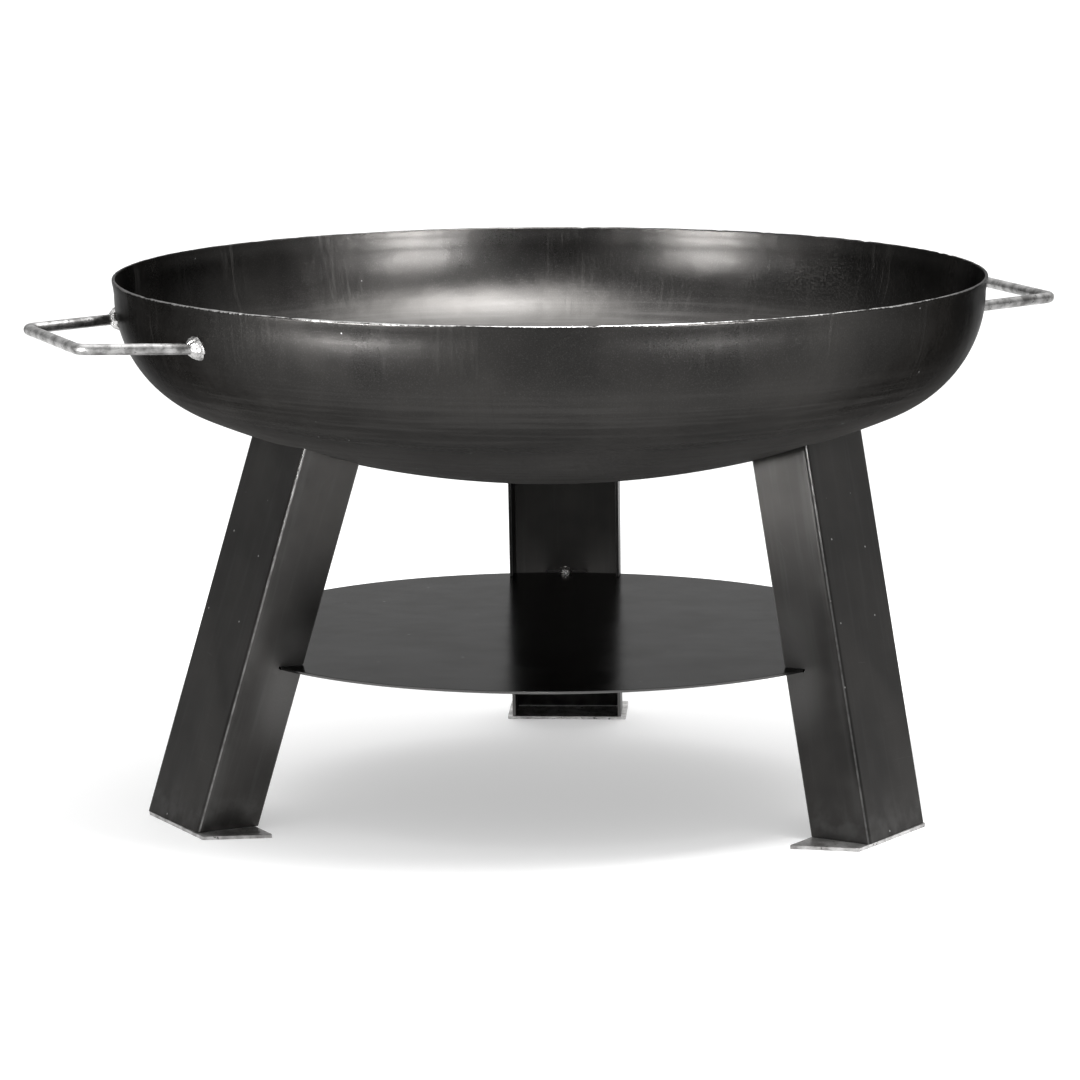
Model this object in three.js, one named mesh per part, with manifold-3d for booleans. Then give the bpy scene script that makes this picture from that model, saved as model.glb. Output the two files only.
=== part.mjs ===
// Steel fire bowl on a three-legged stand with a round shelf.
// Millimetres, +Z up. The origin is on the bowl's axis, on the ground. The rear leg points along +Y.

import * as THREE from "three";
import { mergeVertices } from "three/addons/utils/BufferGeometryUtils.js";
import Module from "manifold-3d";

const wasm = await Module();
wasm.setup();

// ---- Driving dimensions -------------------------------------------------------------------------

const GAP = 0.3; // clearance between pieces that touch

// Bowl: outside surface
const RIM_HEIGHT = 481; // rim above the ground
const BOWL_RADIUS = 400; // at the rim
const BOWL_DEPTH = 186;
const WALL_BAND = 14; // nearly upright band below the rim
const WALL_DRAFT = 2; // how far that band pulls in
const KNUCKLE_RADIUS = 114; // the turn from the wall to the shallow bottom
const BOWL_WALL = 3;
const ROUND_SEGMENTS = 96; // a multiple of 24, so each leg and handle meets the same facets

// Handles: round bar bent into an open trapezoid
const HANDLE_ANGLE = 24.5; // of the right handle, from +X. The left one is opposite
const BAR_RADIUS = 5;
const HANDLE_HEIGHT = RIM_HEIGHT - 37;
const HANDLE_ROOT_HALF = 115; // half the distance between the arms at the bowl
const HANDLE_GRIP_HALF = 80; // half the grip's length between the arms' centre lines
const HANDLE_REACH = 74; // grip's centre line out from the rim
const HANDLE_BEND = 14; // centre-line radius of the two bends
const BAR_RUN_IN = 12; // extra bar at each root, trimmed back to the bowl
const WELD_RADIUS = 11.5;
const WELD_HEIGHT = 7;
const WELD_SHOULDER = 1; // height at which the bead starts to dome
const WELD_RUN_IN = 8; // extra bead inwards, trimmed back to the bowl

// Shelf
const SHELF_TOP = 150;
const SHELF_RADIUS = 305;
const SHELF_THICK = 2.5;

// Legs: U channels, web outwards, leaning out towards the ground
const LEG_WIDTH = 107;
const LEG_DEPTH = 57;
const SHEET = 3;
const FOLD_RADIUS = 5; // outside of the fold
const LEG_LEAN = 14.5; // degrees out of upright
const WEB_RADIUS = 338; // outside of the web, at the shelf's top
const LEG_LENGTH = 420; // blank, before its ends are cut
const LEGS = [
  { name: "rear", angle: 90, sideLean: 0, inward: 0 },
  { name: "front_left", angle: 210, sideLean: 6.9, inward: 1 },
  { name: "front_right", angle: 330, sideLean: 6.9, inward: -1 },
]; // inward: the side, +1 or -1 along the tangent, whose foot plate overhang faces front centre

// Foot plates
const FOOT_THICK = 3;
const FOOT_OVERHANG_WEB = 16; // front feet, at the web end
const FOOT_OVERHANG_OPEN = 38; // front feet, at the channel's open end
const REAR_FOOT_SIDE = 5; // rear foot, proud of each flange
const REAR_FOOT_BACK = 22; // rear foot, beyond the web
const FOOT_CORNER = 2.5; // corner radius, and FOLD_RADIUS where the plate follows a fold

// Shelf fixings
const FIXING_RADIUS = 303; // from the axis, in a notch in the shelf's edge
const TAB_WIDTH = 40;
const TAB_INNER = 281; // the tab's free edge, from the axis
const TAB_FLANGE = 26; // height of the tab's leg on the web
const SCREW_RADIUS = 3;
const HOLE_RADIUS = 3.4;
const SCREW_CHAMFER = 0.6;
const HEAD_FLANGE_RADIUS = 7;
const HEAD_FLANGE_THICK = 1;
const HEAD_DOME_RADIUS = 6.2;
const HEAD_HEIGHT = 5.6;
const SOCKET_RADIUS = 2.2;
const SOCKET_DEPTH = 3;
const WASHER_RADIUS = 6;
const WASHER_THICK = 1.6;
const NUT_ACROSS_FLATS = 10;
const NUT_THICK = 5;
const SCREW_TAIL = 3; // below the nut

// ---- Helpers --------------------------------------------------------------------------------------

const rad = THREE.MathUtils.degToRad;

function toSolid(geometry) {
  const bare = geometry.clone();
  bare.deleteAttribute("normal");
  bare.deleteAttribute("uv");
  const merged = mergeVertices(bare, 1e-4);
  const vertProperties = Float32Array.from(merged.attributes.position.array);
  const index = merged.index.array;
  const triangles = [];
  for (let i = 0; i < index.length; i += 3) {
    const [a, b, c] = index.slice(i, i + 3);
    if (a !== b && b !== c && c !== a) triangles.push(a, b, c);
  }
  const triVerts = Uint32Array.from(triangles);
  return new wasm.Manifold(new wasm.Mesh({ numProp: 3, vertProperties, triVerts }));
}

function toGeometry(solid) {
  const mesh = solid.getMesh();
  const geometry = new THREE.BufferGeometry();
  geometry.setAttribute("position", new THREE.BufferAttribute(mesh.vertProperties, mesh.numProp));
  geometry.setIndex(new THREE.BufferAttribute(mesh.triVerts, 1));
  geometry.computeVertexNormals();
  return geometry;
}

// A body of revolution about Z from [radius, height] points
function lathe(points, segments = ROUND_SEGMENTS) {
  const profile = points.map(([r, z]) => new THREE.Vector2(r, z));
  return new THREE.LatheGeometry(profile, segments).rotateX(Math.PI / 2);
}

function cylinder(radius, bottom, top, segments = 24) {
  return lathe([[0, bottom], [radius, bottom], [radius, top], [0, top]], segments);
}

function box(low, high) {
  const size = high.map((value, i) => value - low[i]);
  const centre = high.map((value, i) => (value + low[i]) / 2);
  return new THREE.BoxGeometry(...size).translate(...centre);
}

function extrude(shape, depth, curveSegments = 5) {
  return new THREE.ExtrudeGeometry(shape, { depth, bevelEnabled: false, curveSegments });
}

// A flat shape through [x, y] corners, each rounded by its own radius (0 for a sharp corner)
function roundedShape(corners) {
  const shape = new THREE.Shape();
  corners.forEach(([x, y, radius = 0], i) => {
    const here = new THREE.Vector2(x, y);
    const [px, py] = corners[(i + corners.length - 1) % corners.length];
    const [nx, ny] = corners[(i + 1) % corners.length];
    const toPrevious = new THREE.Vector2(px, py).sub(here).normalize();
    const toNext = new THREE.Vector2(nx, ny).sub(here).normalize();
    const halfAngle = toPrevious.angleTo(toNext) / 2;
    const setback = radius / Math.tan(halfAngle);
    const start = here.clone().addScaledVector(toPrevious, setback);
    const end = here.clone().addScaledVector(toNext, setback);
    if (i === 0) shape.moveTo(start.x, start.y);
    else shape.lineTo(start.x, start.y);
    if (radius > 0) shape.quadraticCurveTo(x, y, end.x, end.y);
  });
  shape.closePath();
  return shape;
}

function material(color, roughness, metalness = 1) {
  return new THREE.MeshStandardMaterial({ color, roughness, metalness });
}

const object = new THREE.Group();

function addMesh(parent, name, geometry, meshMaterial) {
  const mesh = new THREE.Mesh(geometry, meshMaterial);
  mesh.name = name;
  parent.add(mesh);
  return mesh;
}

// ---- Bowl -----------------------------------------------------------------------------------------

// Points down the outside from the rim to the axis: wall band, knuckle arc, crown arc.
// inset moves the surface inwards, as for the inside of the sheet
function bowlProfile(inset, knuckleSteps = 7, crownSteps = 5) {
  const kneeX = BOWL_RADIUS - WALL_DRAFT - KNUCKLE_RADIUS;
  const rise = BOWL_DEPTH - WALL_BAND - KNUCKLE_RADIUS;
  const drop = (kneeX ** 2 - rise ** 2) / (2 * rise);
  const crownRadius = rise + drop + KNUCKLE_RADIUS;
  const kneeZ = RIM_HEIGHT - WALL_BAND;
  const joinAngle = Math.atan2(drop, kneeX);
  const points = [[BOWL_RADIUS - inset, RIM_HEIGHT]];
  for (let i = 0; i <= knuckleSteps; i++) {
    const angle = (-joinAngle * i) / knuckleSteps;
    const r = KNUCKLE_RADIUS - inset;
    points.push([kneeX + r * Math.cos(angle), kneeZ + r * Math.sin(angle)]);
  }
  for (let i = 1; i <= crownSteps; i++) {
    const angle = -joinAngle - ((Math.PI / 2 - joinAngle) * i) / crownSteps;
    const r = crownRadius - inset;
    points.push([Math.max(0, r * Math.cos(angle)), kneeZ + drop + r * Math.sin(angle)]);
  }
  points[points.length - 1][0] = 0;
  return points;
}

const outside = bowlProfile(0);
const inside = bowlProfile(BOWL_WALL);
const bowl = lathe([...outside].reverse().concat(inside));

// Everything within the bowl's outside plus the gap: it trims the legs, arms and welds
const clearanceProfile = bowlProfile(-GAP).reverse();
const bowlClearance = toSolid(
  lathe([...clearanceProfile, [BOWL_RADIUS + GAP, RIM_HEIGHT + 60], [0, RIM_HEIGHT + 60]]),
);

addMesh(object, "bowl", bowl, material(0x2e2d2b, 0.42));

// ---- Handles and their welds ------------------------------------------------------------------------

const gripRadius = BOWL_RADIUS + HANDLE_REACH;
const rootRadius = Math.sqrt(BOWL_RADIUS ** 2 - HANDLE_ROOT_HALF ** 2);
const armStep = new THREE.Vector3(gripRadius - rootRadius, HANDLE_GRIP_HALF - HANDLE_ROOT_HALF, 0);

function armPoint(side, t) {
  return new THREE.Vector3(
    rootRadius + armStep.x * t,
    side * (HANDLE_ROOT_HALF + armStep.y * t),
    HANDLE_HEIGHT,
  );
}

function bar(path, steps) {
  const section = new THREE.Shape().absarc(0, 0, BAR_RADIUS, 0, 2 * Math.PI);
  return new THREE.ExtrudeGeometry(section, { extrudePath: path, steps, curveSegments: 5 });
}

function handlePath() {
  const turn = Math.PI / 2 - Math.atan2(-armStep.y, armStep.x);
  const setback = HANDLE_BEND * Math.tan(turn / 2);
  const armLength = armStep.length();
  const path = new THREE.CurvePath();
  const bendStart = (side) => armPoint(side, 1 - setback / armLength);
  const corner = (side) => armPoint(side, 1);
  const bendEnd = (side) => corner(side).add(new THREE.Vector3(0, -side * setback, 0));
  const intoBowl = -BAR_RUN_IN / armLength;
  path.add(new THREE.LineCurve3(armPoint(1, intoBowl), bendStart(1)));
  path.add(new THREE.QuadraticBezierCurve3(bendStart(1), corner(1), bendEnd(1)));
  path.add(new THREE.LineCurve3(bendEnd(1), bendEnd(-1)));
  path.add(new THREE.QuadraticBezierCurve3(bendEnd(-1), corner(-1), bendStart(-1)));
  path.add(new THREE.LineCurve3(bendStart(-1), armPoint(-1, intoBowl)));
  return path;
}

// A domed bead on the bowl round the root of one arm, with room for the bar
function weldSolid(side) {
  const bead = lathe(
    [
      [0, -WELD_RUN_IN],
      [WELD_RADIUS, -WELD_RUN_IN],
      [WELD_RADIUS, WELD_SHOULDER],
      [WELD_RADIUS * 0.85, WELD_HEIGHT * 0.6],
      [WELD_RADIUS * 0.6, WELD_HEIGHT],
      [0, WELD_HEIGHT],
    ],
    20,
  );
  const root = surfacePoint(side);
  const slope = Math.asin(wallDropAt(HANDLE_HEIGHT));
  const out = new THREE.Vector3(root.x, root.y, 0).normalize().multiplyScalar(Math.cos(slope));
  out.z = -Math.sin(slope);
  const along = new THREE.Vector3(armStep.x, side * armStep.y, 0).normalize();
  const room = cylinder(BAR_RADIUS + GAP, -40, 60, 16);
  return toSolid(aimed(bead, out, root)).subtract(toSolid(aimed(room, along, root)));
}

// Turns a piece built along +Z to a new direction and moves it
function aimed(geometry, direction, place) {
  const turn = new THREE.Quaternion().setFromUnitVectors(new THREE.Vector3(0, 0, 1), direction);
  return geometry.applyQuaternion(turn).translate(place.x, place.y, place.z);
}

// Sine of the knuckle's angle below its top at a height
function wallDropAt(height) {
  return (RIM_HEIGHT - WALL_BAND - height) / KNUCKLE_RADIUS;
}

// Where an arm's centre line meets the bowl at the handle's height
function surfacePoint(side) {
  const knee = Math.sqrt(1 - wallDropAt(HANDLE_HEIGHT) ** 2);
  const wallRadius = BOWL_RADIUS - WALL_DRAFT - KNUCKLE_RADIUS * (1 - knee);
  const low = armPoint(side, -0.4);
  const high = armPoint(side, 0.4);
  for (let i = 0; i < 30; i++) {
    const middle = low.clone().add(high).multiplyScalar(0.5);
    if (Math.hypot(middle.x, middle.y) > wallRadius) high.copy(middle);
    else low.copy(middle);
  }
  return low;
}

for (const { name, angle } of [
  { name: "right", angle: HANDLE_ANGLE },
  { name: "left", angle: HANDLE_ANGLE + 180 },
]) {
  const turned = new THREE.Matrix4().makeRotationZ(rad(angle));
  const unturned = turned.clone().invert();
  const trim = (solid) => {
    const placed = toSolid(toGeometry(solid).applyMatrix4(turned));
    return toGeometry(placed.subtract(bowlClearance)).applyMatrix4(unturned);
  };
  const handle = new THREE.Group();
  handle.rotation.z = rad(angle);
  object.add(handle);
  addMesh(handle, `handle_${name}`, trim(toSolid(bar(handlePath(), 72))), material(0x8f8d89, 0.38));
  for (const side of [1, -1]) {
    const end = side * (name === "right" ? 1 : -1) > 0 ? "rear" : "front";
    addMesh(handle, `handle_weld_${name}_${end}`, trim(weldSolid(side)), material(0x77746f, 0.35));
  }
}

// ---- Shelf ------------------------------------------------------------------------------------------

let shelf = toSolid(cylinder(SHELF_RADIUS, SHELF_TOP - SHELF_THICK, SHELF_TOP, ROUND_SEGMENTS));
for (const { angle } of LEGS) {
  const hole = cylinder(HOLE_RADIUS, SHELF_TOP - 10, SHELF_TOP + 10).translate(FIXING_RADIUS, 0, 0);
  const mouth = box(
    [FIXING_RADIUS, -HOLE_RADIUS, SHELF_TOP - 10],
    [SHELF_RADIUS + 10, HOLE_RADIUS, SHELF_TOP + 10],
  );
  for (const cutter of [hole, mouth]) shelf = shelf.subtract(toSolid(cutter.rotateZ(rad(angle))));
}
addMesh(object, "shelf", toGeometry(shelf), material(0x5c5c5a, 0.4));

// ---- Legs, each in a frame whose +X runs out along the leg ------------------------------------------

const lean = rad(LEG_LEAN);
const webOutAt = (z) => WEB_RADIUS + (SHELF_TOP - z) * Math.tan(lean);
const legDepthLevel = LEG_DEPTH / Math.cos(lean);

// The channel's section, web at x = 0 and flanges towards -x
function channelSection() {
  const half = LEG_WIDTH / 2;
  const inner = half - SHEET;
  return roundedShape([
    [0, -half, FOLD_RADIUS],
    [0, half, FOLD_RADIUS],
    [-LEG_DEPTH, half],
    [-LEG_DEPTH, inner],
    [-SHEET, inner, FOLD_RADIUS - SHEET],
    [-SHEET, -inner, FOLD_RADIUS - SHEET],
    [-LEG_DEPTH, -inner],
    [-LEG_DEPTH, -half],
  ]);
}

// From a leg standing upright on its shelf point to one that leans out and to the side
function legPlacement(sideLean) {
  const place = new THREE.Matrix4().makeTranslation(WEB_RADIUS, 0, SHELF_TOP);
  place.multiply(new THREE.Matrix4().makeRotationX(-rad(sideLean)));
  place.multiply(new THREE.Matrix4().makeRotationY(-lean));
  return place;
}

function legSolid(sideLean) {
  const below = SHELF_TOP / Math.cos(lean) + 30;
  const blank = extrude(channelSection(), LEG_LENGTH).translate(0, 0, -below);
  const ground = box([0, -400, -200], [800, 400, FOOT_THICK + GAP]);
  const slots = lathe([
    [0, SHELF_TOP - SHELF_THICK - GAP],
    [SHELF_RADIUS + 1, SHELF_TOP - SHELF_THICK - GAP],
    [SHELF_RADIUS + 1, SHELF_TOP + GAP],
    [0, SHELF_TOP + GAP],
  ]);
  return toSolid(blank.applyMatrix4(legPlacement(sideLean)))
    .subtract(toSolid(ground))
    .subtract(toSolid(slots))
    .subtract(bowlClearance);
}

// Corners as [out from the axis, along the tangent]
function footOutline({ sideLean, inward }) {
  const shift = -Math.tan(rad(sideLean)) * SHELF_TOP;
  const half = LEG_WIDTH / 2 / Math.cos(rad(sideLean));
  const web = webOutAt(0);
  const open = web - legDepthLevel;
  if (inward === 0) {
    const side = half + REAR_FOOT_SIDE;
    const back = web + REAR_FOOT_BACK;
    return [[open, -side], [back, -side], [back, side], [open, side]].map((p) => [...p, FOOT_CORNER]);
  }
  const near = shift + inward * half;
  const far = shift - inward * half;
  const corners = [
    [open, far, FOOT_CORNER],
    [web, far, FOLD_RADIUS],
    [web, near + inward * FOOT_OVERHANG_WEB, FOOT_CORNER],
    [open, near + inward * FOOT_OVERHANG_OPEN, FOOT_CORNER],
  ];
  return inward > 0 ? corners : corners.reverse();
}

// A folded bracket: one face under the shelf, the other down the web's inside
function tabSolid(sideLean) {
  const top = SHELF_TOP - SHELF_THICK - GAP;
  const inside = webOutAt(top) - (SHEET + GAP) / Math.cos(lean);
  const slope = Math.tan(lean);
  const sheetLevel = SHEET / Math.cos(lean);
  const outline = roundedShape([
    [TAB_INNER, top],
    [TAB_INNER, top - SHEET],
    [inside + slope * SHEET - sheetLevel, top - SHEET],
    [inside + slope * TAB_FLANGE - sheetLevel, top - TAB_FLANGE],
    [inside + slope * TAB_FLANGE, top - TAB_FLANGE],
    [inside, top],
  ]);
  const tab = extrude(outline, TAB_WIDTH).translate(0, 0, -TAB_WIDTH / 2).rotateX(Math.PI / 2);
  const hole = cylinder(HOLE_RADIUS, top - 10, top + 10).translate(FIXING_RADIUS, 0, 0);
  const leg = legClearance(sideLean);
  return toSolid(tab).subtract(toSolid(hole)).subtract(leg);
}

// The web's inside with its gap, cut from the tab of a leg that leans to the side
function legClearance(sideLean) {
  const outer = box([-SHEET - GAP, -LEG_WIDTH, -120], [60, LEG_WIDTH, 120]);
  return toSolid(outer.applyMatrix4(legPlacement(sideLean)));
}

function screwGeometry() {
  const seat = SHELF_TOP + GAP;
  const tip = SHELF_TOP - SHELF_THICK - SHEET - WASHER_THICK - NUT_THICK - 4 * GAP - SCREW_TAIL;
  const headTop = seat + HEAD_HEIGHT;
  const domeHeight = HEAD_HEIGHT - HEAD_FLANGE_THICK;
  return lathe(
    [
      [0, tip],
      [SCREW_RADIUS - SCREW_CHAMFER, tip],
      [SCREW_RADIUS, tip + SCREW_CHAMFER],
      [SCREW_RADIUS, seat],
      [HEAD_FLANGE_RADIUS, seat],
      [HEAD_FLANGE_RADIUS, seat + HEAD_FLANGE_THICK],
      [HEAD_DOME_RADIUS, headTop - domeHeight * 0.85],
      [HEAD_DOME_RADIUS * 0.94, headTop - domeHeight * 0.5],
      [HEAD_DOME_RADIUS * 0.74, headTop - domeHeight * 0.18],
      [SOCKET_RADIUS * 1.2, headTop],
      [SOCKET_RADIUS, headTop],
      [SOCKET_RADIUS, headTop - SOCKET_DEPTH],
      [0, headTop - SOCKET_DEPTH],
    ],
    24,
  );
}

function ring(innerRadius, outerRadius, bottom, top, segments) {
  return lathe(
    [
      [innerRadius, bottom],
      [outerRadius, bottom],
      [outerRadius, top],
      [innerRadius, top],
      [innerRadius, bottom],
    ],
    segments,
  );
}

const washerTop = SHELF_TOP - SHELF_THICK - SHEET - 2 * GAP;
const nutTop = washerTop - WASHER_THICK - GAP;
const legSteel = () => material(0x3c3c3a, 0.45);
const zinc = () => material(0xc9c9c6, 0.25);

for (const leg of LEGS) {
  const stand = new THREE.Group();
  stand.rotation.z = rad(leg.angle);
  object.add(stand);
  addMesh(stand, `leg_${leg.name}`, toGeometry(legSolid(leg.sideLean)), legSteel());
  const foot = extrude(roundedShape(footOutline(leg)), FOOT_THICK);
  addMesh(stand, `foot_plate_${leg.name}`, foot, material(0x8a8a87, 0.4));
  addMesh(stand, `shelf_tab_${leg.name}`, toGeometry(tabSolid(leg.sideLean)), legSteel());

  const fixing = new THREE.Group();
  fixing.position.x = FIXING_RADIUS;
  stand.add(fixing);
  addMesh(fixing, `shelf_screw_${leg.name}`, screwGeometry(), zinc());
  const washer = ring(HOLE_RADIUS, WASHER_RADIUS, washerTop - WASHER_THICK, washerTop, 24);
  addMesh(fixing, `shelf_washer_${leg.name}`, washer, zinc());
  const nut = toSolid(cylinder(NUT_ACROSS_FLATS / Math.sqrt(3), nutTop - NUT_THICK, nutTop, 6));
  const thread = toSolid(cylinder(SCREW_RADIUS + GAP, nutTop - 20, nutTop + 20));
  addMesh(fixing, `shelf_nut_${leg.name}`, toGeometry(nut.subtract(thread)), zinc());
}

export default object;
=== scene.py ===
"""Looks of the steel fire bowl on its three-legged stand. Metres, +Z up, rear leg towards +Y."""

import math

import bpy
from mathutils import Euler, Matrix, Vector, noise


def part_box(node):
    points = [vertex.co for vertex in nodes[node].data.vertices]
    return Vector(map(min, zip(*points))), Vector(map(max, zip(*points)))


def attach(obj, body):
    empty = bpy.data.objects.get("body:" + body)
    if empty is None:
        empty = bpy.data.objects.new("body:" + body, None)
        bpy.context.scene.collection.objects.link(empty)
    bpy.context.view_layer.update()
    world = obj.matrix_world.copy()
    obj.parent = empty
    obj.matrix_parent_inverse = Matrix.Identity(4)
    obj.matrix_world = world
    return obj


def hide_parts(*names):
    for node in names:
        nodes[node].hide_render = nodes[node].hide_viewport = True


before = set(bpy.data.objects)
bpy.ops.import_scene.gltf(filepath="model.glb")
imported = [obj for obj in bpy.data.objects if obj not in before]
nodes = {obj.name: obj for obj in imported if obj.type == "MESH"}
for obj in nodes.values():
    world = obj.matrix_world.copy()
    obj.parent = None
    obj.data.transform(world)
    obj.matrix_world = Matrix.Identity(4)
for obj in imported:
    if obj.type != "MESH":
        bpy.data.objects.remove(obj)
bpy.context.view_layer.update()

TAU = 2 * math.pi

# ---- Sizes, as the CAD has them ----------------------------------------------------------------

BOWL_LOW, BOWL_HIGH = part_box("bowl")
RIM = BOWL_HIGH.z
BOWL_RADIUS = BOWL_HIGH.x
BOWL_DEPTH = BOWL_HIGH.z - BOWL_LOW.z
BOWL_WALL = 0.003
WALL_BAND = 0.014
WALL_DRAFT = 0.002
KNUCKLE = 0.114

HANDLE_ANGLE = math.radians(24.5)
HANDLE_HEIGHT = RIM - 0.037
BAR_RADIUS = 0.005
ROOT_HALF = 0.115
GRIP_HALF = 0.080
GRIP_RADIUS = BOWL_RADIUS + 0.074
BEND_RADIUS = 0.014

SHELF_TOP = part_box("shelf")[1].z
SHELF_RADIUS = 0.305
LEG_LEAN = 14.5  # degrees
WEB_RADIUS = 0.338
LEG_WIDTH = 0.107
LEG_DEPTH = 0.057
LEGS = {  # direction from the axis, and sideways lean, in degrees
    "rear": (90, 0),
    "front_left": (210, 6.9),
    "front_right": (330, 6.9),
}

# Finer shapes than the CAD has
BOWL_SEGMENTS = 360
PROFILE_STEPS = 30, 34  # along the knuckle, and along the crown
RIM_EDGE = 0.0011  # softening of the rim's two edges
RIM_NICK_DEPTH = 0.004  # how far below the rim the nicks still move it
BROAD_DENT = 0.00045
FINE_DENT = 0.00012
BAR_SIDES = 28
ARM_STEPS = 16
BEND_STEPS = 14
GRIP_STEPS = 12  # from a bend to the middle of the grip
ROOT_SINK = 0.0035  # how far the bar's ends reach in past the bowl's radius
BEAD_STEPS = 72
BEAD_ROWS = 16
BEAD_SPREAD = 0.0108  # the bead's radius on the bowl
BEAD_CLIMB = 0.0062  # how far it climbs the bar
BEAD_BULGE = 0.0013
BEAD_LUMPS = 0.0007
BEAD_RIPPLES = 9
RIPPLE_HEIGHT = 0.0004
SHEET_BEVEL = 0.0004
PLATE_BEVEL = 0.0005
SCREW_BEVEL = 0.0002


# ---- Mesh helpers -------------------------------------------------------------------------------


def mesh_object(name, points, faces, smooth=True):
    mesh = bpy.data.meshes.new(name)
    mesh.from_pydata([tuple(p) for p in points], [], faces)
    mesh.validate()
    mesh.update()
    mesh.polygons.foreach_set("use_smooth", [smooth] * len(mesh.polygons))
    piece = bpy.data.objects.new(name, mesh)
    bpy.context.scene.collection.objects.link(piece)
    return piece


def revolve(name, profile, segments):
    """A body of revolution from (radius, height) points that start and end on the axis."""
    points = [Vector((0, 0, profile[0][1]))]
    rings = []
    for radius, z in profile[1:-1]:
        ring = []
        for k in range(segments):
            angle = TAU * k / segments
            ring.append(len(points))
            points.append(Vector((radius * math.cos(angle), radius * math.sin(angle), z)))
        rings.append(ring)
    points.append(Vector((0, 0, profile[-1][1])))
    faces = []
    first, last = rings[0], rings[-1]
    for k in range(segments):
        after = (k + 1) % segments
        faces.append((0, first[after], first[k]))
        for low, high in zip(rings, rings[1:]):
            faces.append((low[k], low[after], high[after], high[k]))
        faces.append((last[k], last[after], len(points) - 1))
    return mesh_object(name, points, faces)


def sweep(name, path, radius, sides=BAR_SIDES):
    """A round bar along path, with flat ends."""
    up = Vector((0, 0, 1))
    points, faces = [], []
    for i, here in enumerate(path):
        before = path[max(0, i - 1)]
        after = path[min(len(path) - 1, i + 1)]
        along = (after - before).normalized()
        across = along.cross(up).normalized()
        lift = across.cross(along)
        for k in range(sides):
            angle = TAU * k / sides
            points.append(here + radius * (math.cos(angle) * across + math.sin(angle) * lift))
    for i in range(len(path) - 1):
        for k in range(sides):
            a, b = i * sides + k, i * sides + (k + 1) % sides
            faces.append((a, b, b + sides, a + sides))
    end = len(points)
    points += [path[0], path[-1]]
    last = (len(path) - 1) * sides
    for k in range(sides):
        after = (k + 1) % sides
        faces.append((end, after, k))
        faces.append((end + 1, last + k, last + after))
    return mesh_object(name, points, faces)


def refine(node, bevel):
    """Softens a CAD node's edges so that they catch the light."""
    piece = nodes[node]
    piece.data.polygons.foreach_set("use_smooth", [True] * len(piece.data.polygons))
    weld = piece.modifiers.new("weld", "WELD")
    weld.merge_threshold = 1e-6
    soft = piece.modifiers.new("edges", "BEVEL")
    soft.width = bevel
    soft.segments = 2
    soft.limit_method = "ANGLE"
    soft.angle_limit = math.radians(30)
    soft.harden_normals = True
    normals = piece.modifiers.new("normals", "WEIGHTED_NORMAL")
    normals.keep_sharp = True
    return piece


# ---- Bowl ---------------------------------------------------------------------------------------


def bowl_profile(inset):
    """(radius, height) points from the top of the knuckle down to the axis."""
    knuckle_steps, crown_steps = PROFILE_STEPS
    knee_x = BOWL_RADIUS - WALL_DRAFT - KNUCKLE
    knee_z = RIM - WALL_BAND
    rise = BOWL_DEPTH - WALL_BAND - KNUCKLE
    drop = (knee_x**2 - rise**2) / (2 * rise)
    crown = rise + drop + KNUCKLE
    join = math.atan2(drop, knee_x)
    points = []
    for i in range(knuckle_steps + 1):
        angle = -join * i / knuckle_steps
        r = KNUCKLE - inset
        points.append((knee_x + r * math.cos(angle), knee_z + r * math.sin(angle)))
    for i in range(1, crown_steps + 1):
        angle = -join - (math.pi / 2 - join) * i / crown_steps
        r = crown - inset
        points.append((max(0.0, r * math.cos(angle)), knee_z + drop + r * math.sin(angle)))
    return points


def rim_nick(angle):
    """How far the ground edge dips at this angle, in metres."""

    def wave(seed, scale):
        return noise.noise(Vector((math.cos(angle), math.sin(angle), seed)) * scale)

    burr = max(0.0, wave(5.1, 95) - 0.28)
    return 0.0003 * wave(0.3, 3.1) + 0.00028 * wave(1.7, 46) + 0.0018 * burr


def half_way(start, end):
    return start + (end - start) * 0.5


def rim_outline(outer_knee, inner_knee):
    """(radius, height) points from the outside over the rim to the inside."""
    edge = RIM_EDGE
    top_out = BOWL_RADIUS
    top_in = BOWL_RADIUS - BOWL_WALL
    return [
        (half_way(outer_knee, top_out), RIM - WALL_BAND * 0.5),
        (top_out, RIM - edge * 2.2),
        (top_out, RIM - edge),
        (top_out - edge * 0.3, RIM - edge * 0.3),
        (top_out - edge, RIM),
        ((top_out + top_in) / 2, RIM),
        (top_in + edge, RIM),
        (top_in + edge * 0.3, RIM - edge * 0.3),
        (top_in, RIM - edge),
        (top_in, RIM - edge * 2.2),
        (half_way(inner_knee, top_in), RIM - WALL_BAND * 0.5),
    ]


def dent_bowl(mesh):
    """Nicks the rim and dents the wall a little, in place."""
    for vertex in mesh.vertices:
        p = vertex.co
        angle = math.atan2(p.y, p.x)
        near_rim = max(0.0, 1 - (RIM - p.z) / RIM_NICK_DEPTH)
        p.z -= rim_nick(angle) * near_rim
        where = Vector((p.x, p.y, p.z * 1.5))
        dent = BROAD_DENT * noise.noise(where * 6.5) + FINE_DENT * noise.noise(where * 19)
        flat = Vector((p.x, p.y, 0))
        if flat.length > 1e-6:
            share = min(1.0, flat.length / 0.1) * min(1.0, (RIM - p.z) / 0.03)
            p += flat.normalized() * dent * share
    mesh.update()


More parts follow.
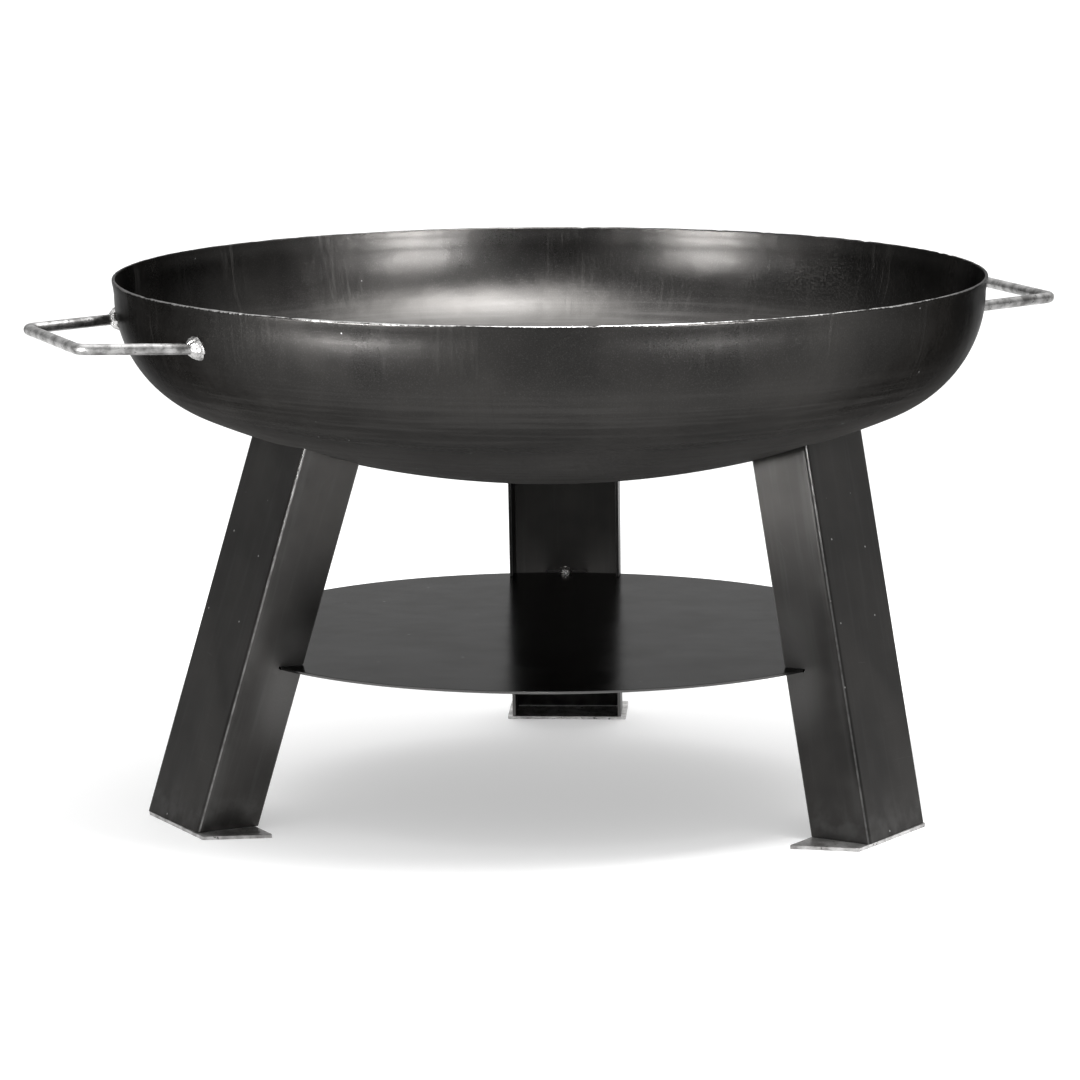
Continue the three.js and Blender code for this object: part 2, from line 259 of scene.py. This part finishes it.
def make_bowl():
    outer = bowl_profile(0)
    inner = bowl_profile(BOWL_WALL)
    rim_points = rim_outline(outer[0][0], inner[0][0])
    profile = outer[::-1] + rim_points + inner
    bowl = revolve("bowl_dished", profile, BOWL_SEGMENTS)
    strip = len(profile) - 1  # faces from the lowest outside point to the lowest inside point
    rim_end = len(outer) + len(rim_points) - 3
    for face in bowl.data.polygons:
        face.material_index = 1 if face.index % strip >= rim_end else 0
    dent_bowl(bowl.data)
    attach(bowl, "bowl")
    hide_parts("bowl")
    return bowl


# ---- Handles and welds --------------------------------------------------------------------------


def handle_path(side_turn):
    """The bar's centre line, from just inside one root round both bends to the other root."""
    root_radius = math.sqrt(BOWL_RADIUS**2 - ROOT_HALF**2)
    arm = Vector((GRIP_RADIUS - root_radius, GRIP_HALF - ROOT_HALF, 0))
    length = arm.length
    turn = math.pi / 2 - math.atan2(-arm.y, arm.x)
    setback = BEND_RADIUS * math.tan(turn / 2)
    unit = arm.normalized()
    inward = Vector((-unit.y, unit.x, 0)) * -1
    start = Vector((root_radius, ROOT_HALF, 0))
    bend_start = start + unit * (length - setback)
    centre = bend_start + inward * BEND_RADIUS
    straight = unit * (0.9 * (length - setback))
    points = [start - unit * ROOT_SINK]
    points += [start + straight * i / ARM_STEPS for i in range(ARM_STEPS + 1)]
    points += [bend_start - unit * 0.004, bend_start - unit * 0.0015]
    for i in range(BEND_STEPS + 1):
        angle = -turn * i / BEND_STEPS
        offset = Matrix.Rotation(angle, 3, "Z") @ (bend_start - centre)
        points.append(centre + offset)
    grip_y = points[-1].y
    for i in range(1, GRIP_STEPS):
        points.append(Vector((GRIP_RADIUS, grip_y * (1 - i / GRIP_STEPS), 0)))
    mirrored = [Vector((p.x, -p.y, 0)) for p in reversed(points)]
    path = points + [Vector((GRIP_RADIUS, 0, 0))] + mirrored
    turn_all = Matrix.Rotation(side_turn, 3, "Z")
    return [turn_all @ p + Vector((0, 0, HANDLE_HEIGHT)) for p in path]


def wall_radius(height):
    """The bowl's outside radius at this height on the knuckle."""
    sine = (RIM - WALL_BAND - height) / KNUCKLE
    return BOWL_RADIUS - WALL_DRAFT - KNUCKLE + KNUCKLE * math.sqrt(1 - min(1, max(0, sine)) ** 2)


def on_wall(point):
    """The nearest point of the bowl's outside at the same height and direction."""
    flat = Vector((point.x, point.y, 0)).normalized()
    return flat * wall_radius(point.z) + Vector((0, 0, point.z))


def arm_root(path, reverse):
    """Where the arm's centre line crosses the bowl's outside, and the way the arm runs out."""
    points = path[::-1] if reverse else path
    along = (points[4] - points[1]).normalized()
    low, high = points[0] - along * 0.03, points[3]
    for _ in range(40):
        middle = (low + high) / 2
        if Vector((middle.x, middle.y)).length > wall_radius(middle.z):
            high = middle
        else:
            low = middle
    return low, along


def make_weld(name, root, along, seed):
    """A lumpy bead that climbs from the bowl's wall onto the bar."""
    slope = math.asin((RIM - WALL_BAND - root.z) / KNUCKLE)
    flat = Vector((root.x, root.y, 0)).normalized()
    normal = (flat * math.cos(slope) + Vector((0, 0, -math.sin(slope)))).normalized()
    side = Vector((0, 0, 1)).cross(normal).normalized()
    lift = normal.cross(side).normalized()
    steps, rows = BEAD_STEPS, BEAD_ROWS
    points, faces = [], []
    for i in range(steps):
        theta = TAU * i / steps
        out = side * math.cos(theta) + lift * math.sin(theta)
        wobble = noise.noise(Vector((math.cos(theta), math.sin(theta), seed)) * 1.6)
        coins = 0.5 + 0.5 * math.sin(theta * BEAD_RIPPLES + 2.2 * wobble + seed)
        spread = BEAD_SPREAD + 0.0016 * wobble + 0.0007 * coins
        base = on_wall(root + out * spread) - normal * 0.0006
        ring_place = Vector((seed, math.sin(theta), math.cos(theta)))
        climb = BEAD_CLIMB + 0.0012 * noise.noise(ring_place * 2)
        around = out - along * out.dot(along)
        around = around.normalized() * (BAR_RADIUS - 0.0004)
        reach = climb / max(0.35, along.dot(normal)) + out.dot(along) * 0.004
        top = root + along * reach + around
        corner = on_wall(root + around * 1.02) + normal * 0.001
        for j in range(rows):
            t = j / (rows - 1)
            straight = base.lerp(top, t)
            swell = math.sin(math.pi * t)  # nothing at the bead's two edges
            towards = (corner - straight) * (0.12 * swell)
            face_out = (straight - corner).normalized()
            bulge = face_out * (BEAD_BULGE * swell**0.8)
            lump = Vector((theta * 1.9 + seed, t * 3.1, seed * 2))
            rough = BEAD_LUMPS * noise.noise(lump * 2.4) * swell
            ripple = RIPPLE_HEIGHT * coins * swell
            points.append(straight + towards * 0.3 + bulge + face_out * (rough + ripple))
    for i in range(steps):
        for j in range(rows - 1):
            a, b = i * rows + j, ((i + 1) % steps) * rows + j
            faces.append((a, b, b + 1, a + 1))
    foot, tip = len(points), len(points) + 1
    points += [root - normal * 0.0018, root + along * 0.004]
    for i in range(steps):
        a, b = i * rows, ((i + 1) % steps) * rows
        faces.append((foot, b, a))
        faces.append((tip, a + rows - 1, b + rows - 1))
    return mesh_object(name, points, faces)


def make_handles():
    made = []
    for side, turn in (("right", HANDLE_ANGLE), ("left", HANDLE_ANGLE + math.pi)):
        path = handle_path(turn)
        bar = sweep(f"handle_bar_{side}", path, BAR_RADIUS)
        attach(bar, "bowl")
        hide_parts(f"handle_{side}")
        made.append(bar)
        for reverse in (False, True):
            end = "rear" if reverse == (side == "left") else "front"
            root, along = arm_root(path, reverse)
            seed = 3.7 * len(made) + 1
            bead = make_weld(f"weld_bead_{side}_{end}", root, along, seed)
            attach(bead, "bowl")
            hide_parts(f"handle_weld_{side}_{end}")
            made.append(bead)
    return made


# ---- Camera, light and floor --------------------------------------------------------------------

CAMERA_TURN = math.radians(2.671)  # to the right of straight on
CAMERA_AWAY = 4.7605
CAMERA_ABOVE_RIM = 0.5414
CAMERA_DOWN = math.radians(9.417)
CAMERA_PAN = math.radians(-0.1223)
CAMERA_ROLL = math.radians(-0.2772)
CAMERA_LENS = 174.23  # mm, on a sensor 36 mm wide

FLOOR_HALF = 60
FLOOR_DROP = 0.0002  # keeps the floor clear of the foot plates
FLOOR_GLOW = 0.45  # the floor is a pale light table, so that the stand's shadow stays faint

SKY_AT_HORIZON = 0.24
SKY_OVERHEAD = 1.0
BACKDROP = 0.5  # what the pale backdrop adds behind the object, a little to the right
BACKDROP_WAY = (0.25, 0.97, 0)
SUN_POWER = 1.3
SUN_WIDTH = math.radians(70)
SUN_TILT = math.radians(-10)
SOFT_BOXES = {  # place, point aimed at, (width, height), watts, spread in degrees
    "soft_box_left": ((-1.2, -1.25, 0.58), (0, 0, 0.64), (0.42, 0.45), 2.3, 22),
    "soft_box_right": ((1.12, -1.3, 0.66), (0, 0, 0.66), (0.5, 0.4), 2.0, 24),
    "high_box_left": ((-1.2, -1.2, 0.9), (0, 0, 0.85), (0.5, 0.5), 2.1, 36),
    "high_box_right": ((0.9, -0.9, 0.9), (0, 0, 0.78), (0.45, 0.45), 0.9, 36),
    "screw_light": ((0.0, -2.0, 0.55), (0, 0.303, 0.155), (0.2, 0.1), 0.1, 12),
    "soft_box_top": ((0.28, -0.3, 1.6), (0, 0.1, 0.3), (0.6, 0.5), 16, 80),
}


def make_camera():
    camera = bpy.data.objects.new("camera", bpy.data.cameras.new("camera"))
    camera.data.lens = CAMERA_LENS
    camera.data.sensor_width = 36
    straight_on = Vector((0, -CAMERA_AWAY, RIM + CAMERA_ABOVE_RIM))
    place = Matrix.Rotation(CAMERA_TURN, 4, "Z") @ straight_on
    aim = Matrix.Rotation(CAMERA_TURN - CAMERA_PAN, 4, "Z")
    aim = aim @ Matrix.Rotation(math.pi / 2 - CAMERA_DOWN, 4, "X")
    aim = aim @ Matrix.Rotation(CAMERA_ROLL, 4, "Z")
    camera.matrix_world = Matrix.Translation(place) @ aim
    bpy.context.scene.collection.objects.link(camera)
    bpy.context.scene.camera = camera


def make_floor():
    size = FLOOR_HALF
    corners = [(-size, -size, 0), (size, -size, 0), (size, size, 0), (-size, size, 0)]
    floor = mesh_object("floor", corners, [(0, 1, 2, 3)], smooth=False)
    floor.location.z = -FLOOR_DROP
    paint = bpy.data.materials.new("floor_paint")
    paint.use_nodes = True
    shader = paint.node_tree.nodes["Principled BSDF"]
    shader.inputs["Base Color"].default_value = (0.6, 0.6, 0.6, 1)
    shader.inputs["Roughness"].default_value = 0.9
    shader.inputs["Emission Color"].default_value = (1, 1, 1, 1)
    shader.inputs["Emission Strength"].default_value = FLOOR_GLOW
    floor.data.materials.append(paint)


def soft_box(name, place, aim_at, size, power, spread):
    lamp = bpy.data.lights.new(name, "AREA")
    lamp.spread = math.radians(spread)
    lamp.shape = "RECTANGLE"
    lamp.size, lamp.size_y = size
    lamp.energy = power
    box = bpy.data.objects.new(name, lamp)
    box.location = place
    direction = Vector(aim_at) - Vector(place)
    box.rotation_euler = direction.to_track_quat("-Z", "Y").to_euler()
    box.visible_camera = False
    bpy.context.scene.collection.objects.link(box)


def sky_strength(tree):
    """Dim at the horizon in front, brighter overhead and behind."""
    where = tree.nodes.new("ShaderNodeTexCoord").outputs["Generated"]
    parts = tree.nodes.new("ShaderNodeSeparateXYZ")
    tree.links.new(where, parts.inputs[0])
    away = tree.nodes.new("ShaderNodeVectorMath")
    away.operation = "DOT_PRODUCT"
    tree.links.new(where, away.inputs[0])
    away.inputs[1].default_value = BACKDROP_WAY
    total = tree.nodes.new("ShaderNodeMath")
    total.operation = "ADD"
    ramps = (
        (parts.outputs["Z"], 0.25, 0.85, SKY_AT_HORIZON, SKY_OVERHEAD),
        (away.outputs["Value"], 0.0, 0.8, 0.0, BACKDROP),
    )
    for socket, (value, low, high, start, end) in zip(total.inputs, ramps):
        ramp = tree.nodes.new("ShaderNodeMapRange")
        ramp.interpolation_type = "SMOOTHSTEP"
        tree.links.new(value, ramp.inputs["Value"])
        for name, number in (("From Min", low), ("From Max", high), ("To Min", start), ("To Max", end)):
            ramp.inputs[name].default_value = number
        tree.links.new(ramp.outputs["Result"], socket)
    return total.outputs[0]


def make_light():
    scene = bpy.context.scene
    world = bpy.data.worlds.new("studio")
    world.use_nodes = True
    tree = world.node_tree
    sky = tree.nodes["Background"]
    sky.inputs["Color"].default_value = (1, 1, 1, 1)
    tree.links.new(sky_strength(tree), sky.inputs["Strength"])
    scene.world = world
    overhead = bpy.data.lights.new("overhead", "SUN")
    overhead.energy = SUN_POWER
    overhead.angle = SUN_WIDTH
    sun = bpy.data.objects.new("overhead", overhead)
    sun.rotation_euler = Euler((SUN_TILT, 0, 0))
    scene.collection.objects.link(sun)
    for name, settings in SOFT_BOXES.items():
        soft_box(name, *settings)
    scene.view_settings.view_transform = "Standard"


# ---- Materials ----------------------------------------------------------------------------------


class Finish:
    """One procedural material, and short calls for the nodes it is made of."""

    def __init__(self, name):
        self.material = bpy.data.materials.new(name)
        self.material.use_nodes = True
        self.tree = self.material.node_tree
        self.shader = self.tree.nodes["Principled BSDF"]
        self.place = self.node("ShaderNodeTexCoord").outputs["Object"]

    def node(self, kind, *values, **settings):
        made = self.tree.nodes.new(kind)
        for key, value in settings.items():
            setattr(made, key, value)
        for socket, value in zip(made.inputs, values):
            self.feed(socket, value)
        return made

    def feed(self, socket, value):
        if value is None:
            return
        if isinstance(value, bpy.types.NodeSocket):
            self.tree.links.new(value, socket)
        else:
            socket.default_value = value

    def math(self, operation, *values):
        return self.node("ShaderNodeMath", *values, operation=operation).outputs[0]

    def times(self, *values):
        total = values[0]
        for value in values[1:]:
            total = self.math("MULTIPLY", total, value)
        return total

    def plus(self, *values):
        total = values[0]
        for value in values[1:]:
            total = self.math("ADD", total, value)
        return total

    def vector(self, operation, *values):
        made = self.node("ShaderNodeVectorMath", *values, operation=operation)
        return made.outputs["Value" if operation in ("LENGTH", "DOT_PRODUCT") else "Vector"]

    def stretch(self, x, y, z, where=None):
        return self.vector("MULTIPLY", where or self.place, (x, y, z))

    def split(self, where=None):
        made = self.node("ShaderNodeSeparateXYZ", where or self.place)
        return made.outputs["X"], made.outputs["Y"], made.outputs["Z"]

    def noise(self, where, scale=1.0, detail=2.0, rough=0.5):
        made = self.node("ShaderNodeTexNoise")
        for key, value in (("Vector", where), ("Scale", scale), ("Detail", detail), ("Roughness", rough)):
            self.feed(made.inputs[key], value)
        return made.outputs["Fac"]

    def span(self, value, low, high, start=0.0, end=1.0):
        """Goes smoothly from start to end while value goes from low to high."""
        made = self.node("ShaderNodeMapRange", value, low, high, start, end)
        made.interpolation_type = "SMOOTHSTEP"
        return made.outputs["Result"]

    def fall(self, value, low, high):
        """1 up to low, falling to 0 at high."""
        return self.span(value, low, high, 1.0, 0.0)

    def band(self, value, centre, half, soft):
        """1 within half of centre, falling to 0 over soft."""
        away = self.math("ABSOLUTE", self.math("SUBTRACT", value, centre))
        return self.fall(away, half, half + soft)

    def mix(self, factor, low, high):
        made = self.node("ShaderNodeMix", data_type="RGBA")
        for key, kind, value in (("Factor", "VALUE", factor), ("A", "RGBA", low), ("B", "RGBA", high)):
            socket = [s for s in made.inputs if s.name == key and s.type == kind][0]
            self.feed(socket, value)
        return [s for s in made.outputs if s.type == "RGBA"][0]

    def specks(self, close, size, rare, where=None):
        """Small dots, close of them to the metre, of which only the share above rare are kept."""
        made = self.node("ShaderNodeTexVoronoi")
        self.feed(made.inputs["Vector"], where or self.place)
        made.inputs["Scale"].default_value = close
        chance = self.node("ShaderNodeSeparateColor", made.outputs["Color"]).outputs[0]
        kept = self.span(chance, *rare)
        return self.times(self.fall(made.outputs["Distance"], 0.03, size), kept)

    def scratches(self, turn, close, where=None):
        """Short straight hairlines that all run one way, about close of them to the metre."""
        turned = self.node("ShaderNodeMapping", where or self.place, None, turn).outputs[0]
        long_noise = self.noise(self.stretch(close, 3, 3, turned), 1.0, 0.0)
        short_noise = self.noise(self.stretch(close, 40, 40, turned), 1.0, 0.0)
        line = self.band(long_noise, 0.5, 0.0, 0.012)
        return self.times(line, self.span(short_noise, 0.55, 0.65))

    def bump(self, height, distance, below=None):
        made = self.node("ShaderNodeBump")
        made.inputs["Strength"].default_value = 1.0
        made.inputs["Distance"].default_value = distance
        self.feed(made.inputs["Height"], height)
        if below is not None:
            self.feed(made.inputs["Normal"], below)
        return made.outputs["Normal"]

    def set(self, **values):
        names = {
            "color": "Base Color",
            "rough": "Roughness",
            "metal": "Metallic",
            "edge": "Specular Tint",
            "normal": "Normal",
        }
        for key, value in values.items():
            self.feed(self.shader.inputs[names[key]], value)
        return self.material


def grey(value, warm=0.0):
    return (value * (1 + warm), value, value * (1 - warm), 1)


def from_axis(fin):
    return fin.vector("LENGTH", fin.stretch(1, 1, 0))


def round_place(fin, across, upward):
    """Direction from the axis stretched by across, and height stretched by upward."""
    flat = fin.vector("NORMALIZE", fin.stretch(1, 1, 0))
    around = fin.vector("MULTIPLY", flat, (across, across, 0))
    return fin.vector("ADD", around, fin.stretch(0, 0, upward))


def round_noise(fin, across, upward, detail, rough=0.5):
    return fin.noise(round_place(fin, across, upward), 1.0, detail, rough)


# SCALE is (grey, warmth) of the mill scale's darkest, middle and palest patches, EDGE the share of
# the light that it mirrors at a glancing angle, and BARE (grey, warmth) of the bare metal.
OUTSIDE_SCALE = (0.025, 0.03), (0.035, 0.04), (0.055, 0.03)
# Paler grey on the crown underneath: a painted reflection of the bright floor below it.
PAINTED_UNDERSIDE_REFLECTION = 0.075, 0.03  # on the crown underneath
OUTSIDE_EDGE = 0.3
# The inside's greys are about five times darker than the outside's: painted shade, for the dimmer light
# inside the bowl.
INSIDE_SHADED_SCALE = (0.004, 0.04), (0.007, 0.05), (0.015, 0.04)
INSIDE_EDGE = 0.38
BOWL_BARE = 0.35, 0.0
LEG_SCALE = (0.040, 0.03), (0.052, 0.04), (0.07, 0.02)
LEG_EDGE = 0.62
LEG_BARE = 0.5, 0.01
SHELF_SCALE = (0.04, 0.02), (0.056, 0.03), (0.075, 0.0)
SHELF_EDGE = 0.45
SHELF_BARE = 0.45, 0.0


def bare_rim_front_highlight(fin, height, reach):
    """The bare ground edge, up to 1.25 reach below the rim, and its colour. It fades out towards the
    back: a painted highlight that keeps it clearest in front.
    """
    y = fin.split()[1]
    jag = round_noise(fin, 104, 60, 3.0, 0.7)
    worn = fin.span(round_noise(fin, 4.8, 4, 1.0), 0.4, 0.62, 0.35, 1.0)
    width = fin.times(fin.span(jag, 0.3, 0.7, 0.5, 1.25), worn, reach)
    lower_edge = fin.math("SUBTRACT", RIM, width)
    above = fin.span(fin.math("SUBTRACT", height, lower_edge), 0.0, 0.0003)
    color = fin.mix(fin.span(jag, 0.3, 0.6), grey(0.2, 0.02), grey(0.42, 0.01))
    # Painted highlight: the bare edge fades to 0.08 towards the back, so that it shines only in front.
    return fin.times(above, fin.span(y, -0.32, 0.05, 1.0, 0.08)), color


def dark_runs(fin, runs, on_wall_share):
    """Runs of oil down from the rim, broad and thin."""
    patch = fin.span(round_noise(fin, 8.8, 6, 1.0), 0.46, 0.66)
    broad = fin.times(fin.span(runs, 0.50, 0.68), patch, on_wall_share)
    thin = fin.span(round_noise(fin, 248, 26, 1.0), 0.60, 0.74)
    return fin.math("MAXIMUM", broad, fin.times(thin, patch, on_wall_share, 0.8))


def rings_low_down(fin, height):
    """Faint level streaks on the lower outside, none near the axis."""
    streaks = fin.span(round_noise(fin, 2.4, 260, 3.0, 0.6), 0.42, 0.68)
    low = fin.fall(height, RIM - 0.10, RIM - 0.045)
    return fin.times(streaks, low, fin.span(from_axis(fin), 0.08, 0.2))


def bowl_steel(name, inside):
    """Oiled mill scale, near black: runs down from the rim, streaks lower down, a bare rim edge."""
    fin = Finish(name)
    height = fin.split()[2]
    grain = fin.noise(fin.place, 950, 2.0, 0.6)
    blotch = fin.noise(fin.place, 9, 3.0, 0.55)
    runs = round_noise(fin, 120, 16, 3.0, 0.6)
    on_wall_share = fin.span(height, RIM - 0.125, RIM - 0.04)
    # On the inside these are the darker greys: painted shade.
    deep, mid, pale = (grey(*shade) for shade in (INSIDE_SHADED_SCALE if inside else OUTSIDE_SCALE))
    color = fin.mix(fin.span(blotch, 0.3, 0.7), deep, mid)
    rough = fin.plus(
        fin.span(blotch, 0.25, 0.75, 0.30, 0.37),
        fin.span(grain, 0.3, 0.7, -0.045, 0.045),
    )
    if not inside:
        ring = rings_low_down(fin, height)
        # Painted reflection: the crown underneath is made paler, standing in for the floor that it
        # mirrors.
        color = fin.mix(fin.fall(height, RIM - 0.15, RIM - 0.08), color, grey(*PAINTED_UNDERSIDE_REFLECTION))
        color = fin.mix(fin.times(ring, 0.6), color, pale)
        rough = fin.plus(
            rough,
            fin.times(dark_runs(fin, runs, on_wall_share), 0.16),
            fin.times(ring, 0.06),
            fin.span(height, RIM - 0.13, RIM - 0.05, 0.32, 0.0),
        )
    color = fin.mix(fin.times(fin.span(grain, 0.5, 0.75), 0.6), color, pale)
    color = fin.mix(fin.specks(75, 0.07, (0.93, 0.96)), color, grey(*BOWL_BARE))
    bare, bare_color = bare_rim_front_highlight(fin, height, 0.0007 if inside else 0.0014)
    color = fin.mix(bare, color, bare_color)
    normal = fin.bump(fin.noise(fin.place, 26, 2.0), 0.0007)
    fine = fin.plus(grain, fin.times(runs, on_wall_share, 0.2))
    normal = fin.bump(fine, 0.00005, normal)
    edge = grey(INSIDE_EDGE if inside else OUTSIDE_EDGE)
    return fin.set(color=color, rough=rough, normal=normal, metal=1.0, edge=edge)


def leg_place(fin, leg):
    """Place along the leg: x out from the web's outer face, y across, z up from the shelf's top."""
    turn, side = LEGS[leg]
    frame_turn = Matrix.Rotation(math.radians(turn), 3, "Z")
    corner = frame_turn @ Vector((WEB_RADIUS, 0, SHELF_TOP))
    frame_turn @= Matrix.Rotation(math.radians(-side), 3, "X")
    frame_turn @= Matrix.Rotation(math.radians(-LEG_LEAN), 3, "Y")
    along = []
    for axis in frame_turn.col:
        share = fin.vector("DOT_PRODUCT", fin.place, tuple(axis))
        along.append(fin.math("SUBTRACT", share, axis.dot(corner)))
    return fin.node("ShaderNodeCombineXYZ", *along).outputs[0]


def leg_steel(leg):
    """Folded sheet: dark scale on the faces, rubbed along the folds with a pale line on each bend that is
    partly a painted highlight, bare cut edges, and painted light round the shelf slots.
    """
    fin = Finish(f"leg_steel_{leg}")
    where = leg_place(fin, leg)
    x, y, z = fin.split(where)
    height = fin.split()[2]
    side = fin.math("ABSOLUTE", y)
    half = LEG_WIDTH / 2
    grain = fin.noise(where, 1000, 2.0, 0.6)
    blotch = fin.noise(where, 13, 3.0, 0.6)
    drag = fin.noise(fin.stretch(160, 160, 9, where), 1.0, 3.0, 0.6)
    worn = fin.span(fin.noise(fin.stretch(20, 20, 90, where), 1.0, 3.0), 0.3, 0.7, 0.35, 1.0)

    on_flange = fin.span(side, half - 0.0012, half - 0.0002)
    on_fold = fin.span(side, half - 0.0024, half - 0.0016)
    # A pale line along the bend: partly wear, partly a painted highlight where the rounded bend catches
    # the light.
    fold_wear_and_highlight = fin.times(fin.band(x, -0.0016, 0.0003, 0.0006), on_fold, worn)
    inner = fin.times(fin.fall(x, -0.0028, -0.0024), fin.fall(side, half - 0.0028, half - 0.0022))
    # Painted light: a paler, rougher patch on the flange round the shelf slots, standing in for a
    # brighter reflection there.
    slot_painted_light = fin.times(fin.band(z, 0.002, 0.004, 0.07), fin.fall(x, -0.052, -0.012), on_flange)
    rubbed = fin.times(fin.span(x, -0.018, -0.004), on_flange, fin.span(blotch, 0.35, 0.75))
    cut = fin.span(x, -LEG_DEPTH + 0.0012, -LEG_DEPTH + 0.0004)
    # Painted reflection: the faces are paler in patches up to 5 cm above the floor, standing in for the
    # light that they mirror from the foot plates.
    low_painted_reflection = fin.times(fin.span(height, 0.05, 0.004), fin.span(fin.noise(where, 60, 3.0), 0.35, 0.7))
    hair_patch = fin.span(fin.noise(where, 17, 1.0), 0.58, 0.68)
    hair = fin.times(fin.scratches((0.35, 0.5, 0.2), 160, where), hair_patch)

    deep, mid, pale = (grey(*shade) for shade in LEG_SCALE)
    color = fin.mix(fin.span(blotch, 0.3, 0.7), deep, mid)
    color = fin.mix(fin.times(fin.span(drag, 0.5, 0.75), 0.3), color, pale)
    color = fin.mix(fin.times(rubbed, 0.55), color, grey(0.09, 0.02))
    color = fin.mix(fin.times(low_painted_reflection, 0.6), color, grey(0.1, 0.02))
    color = fin.mix(slot_painted_light, color, grey(0.15, 0.02))
    bare = fin.plus(
        fin.times(fold_wear_and_highlight, 0.4),
        fin.times(cut, 0.15),
        fin.specks(60, 0.07, (0.94, 0.97), where),
        fin.times(hair, 0.05),
    )
    color = fin.mix(fin.math("MINIMUM", bare, 1.0), color, grey(*LEG_BARE))
    rough = fin.plus(
        fin.span(blotch, 0.25, 0.75, 0.33, 0.41),
        fin.span(grain, 0.2, 0.8, -0.03, 0.03),
        fin.times(rubbed, 0.05),
        fin.times(inner, 0.22),
        fin.times(slot_painted_light, 0.3),
    )
    normal = fin.bump(fin.noise(where, 18, 1.0), 0.0006)
    normal = fin.bump(fin.plus(fin.times(grain, 0.5), fin.times(drag, 0.3)), 0.00003, normal)
    return fin.set(color=color, rough=rough, normal=normal, metal=1.0, edge=grey(LEG_EDGE))


def shelf_steel():
    """Smoother scale than the legs', so that it mirrors the rear leg, with a rubbed cut edge."""
    fin = Finish("shelf_steel")
    grain = fin.noise(fin.place, 900, 2.0, 0.6)
    blotch = fin.noise(fin.place, 16, 4.0, 0.62)
    drag = fin.noise(fin.stretch(9, 140, 9), 1.0, 3.0, 0.6)
    hair_patch = fin.span(fin.noise(fin.place, 15, 1.0), 0.55, 0.66)
    hair = fin.times(fin.scratches((0, 0, 0.6), 150), hair_patch)
    edge = fin.span(from_axis(fin), SHELF_RADIUS - 0.0006, SHELF_RADIUS - 0.0001)
    deep, mid, pale = (grey(*shade) for shade in SHELF_SCALE)
    color = fin.mix(fin.span(blotch, 0.3, 0.7), deep, mid)
    color = fin.mix(fin.times(fin.span(drag, 0.5, 0.75), 0.3), color, pale)
    bare = fin.plus(fin.times(edge, 0.12), fin.specks(55, 0.08, (0.8, 0.86)), fin.times(hair, 0.15))
    color = fin.mix(fin.math("MINIMUM", bare, 1.0), color, grey(*SHELF_BARE))
    rough = fin.plus(
        fin.span(blotch, 0.25, 0.75, 0.16, 0.24),
        fin.span(grain, 0.2, 0.8, -0.02, 0.02),
    )
    normal = fin.bump(fin.noise(fin.place, 12, 2.0), 0.0003)
    normal = fin.bump(grain, 0.00001, normal)
    return fin.set(color=color, rough=rough, normal=normal, metal=1.0, edge=grey(SHELF_EDGE))


def bare_steel(name, greys, roughness, grain_scale=500, pit=0.02):
    """Bare metal with brighter and duller patches, fine grain and small darker pits."""
    fin = Finish(name)
    dull, bright = greys
    grain = fin.noise(fin.place, grain_scale, 3.0, 0.6)
    blotch = fin.noise(fin.place, 70, 3.0, 0.6)
    pits = fin.span(fin.noise(fin.place, 260, 2.0), 0.63, 0.72)
    color = fin.mix(fin.span(blotch, 0.32, 0.68), grey(dull, 0.02), grey(bright, 0.01))
    color = fin.mix(fin.times(pits, 0.85), color, grey(pit, 0.05))
    rough = fin.plus(fin.span(grain, 0.25, 0.75, *roughness), fin.times(pits, 0.15))
    metal = fin.span(pits, 0.0, 1.0, 1.0, 0.5)
    return fin.set(color=color, rough=rough, normal=fin.bump(grain, 0.0001), metal=metal)


def dress(piece, *materials):
    piece.data.materials.clear()
    for material in materials:
        piece.data.materials.append(material)


# ---- Build --------------------------------------------------------------------------------------

make_camera()
make_floor()
make_light()

dress(make_bowl(), bowl_steel("bowl_outside", False), bowl_steel("bowl_inside_shaded", True))
handle_metal = bare_steel("handle_steel", (0.10, 0.36), (0.3, 0.45))
weld_metal = bare_steel("weld_bead", (0.2, 0.5), (0.2, 0.4), 350, 0.01)
for piece in make_handles():
    dress(piece, weld_metal if "weld" in piece.name else handle_metal)
plate_metal = bare_steel("foot_steel", (0.3, 0.6), (0.35, 0.5), 900)
tab_metal = bare_steel("tab_steel", (0.11, 0.17), (0.5, 0.6))
zinc = bare_steel("zinc_plate", (0.75, 0.85), (0.2, 0.28), 700, 0.5)
for leg in LEGS:
    dress(refine(f"leg_{leg}", SHEET_BEVEL), leg_steel(leg))
    dress(refine(f"shelf_tab_{leg}", SHEET_BEVEL), tab_metal)
    dress(refine(f"foot_plate_{leg}", PLATE_BEVEL), plate_metal)
    for kind in ("screw", "washer", "nut"):
        dress(refine(f"shelf_{kind}_{leg}", SCREW_BEVEL), zinc)
dress(refine("shelf", SHEET_BEVEL), shelf_steel())
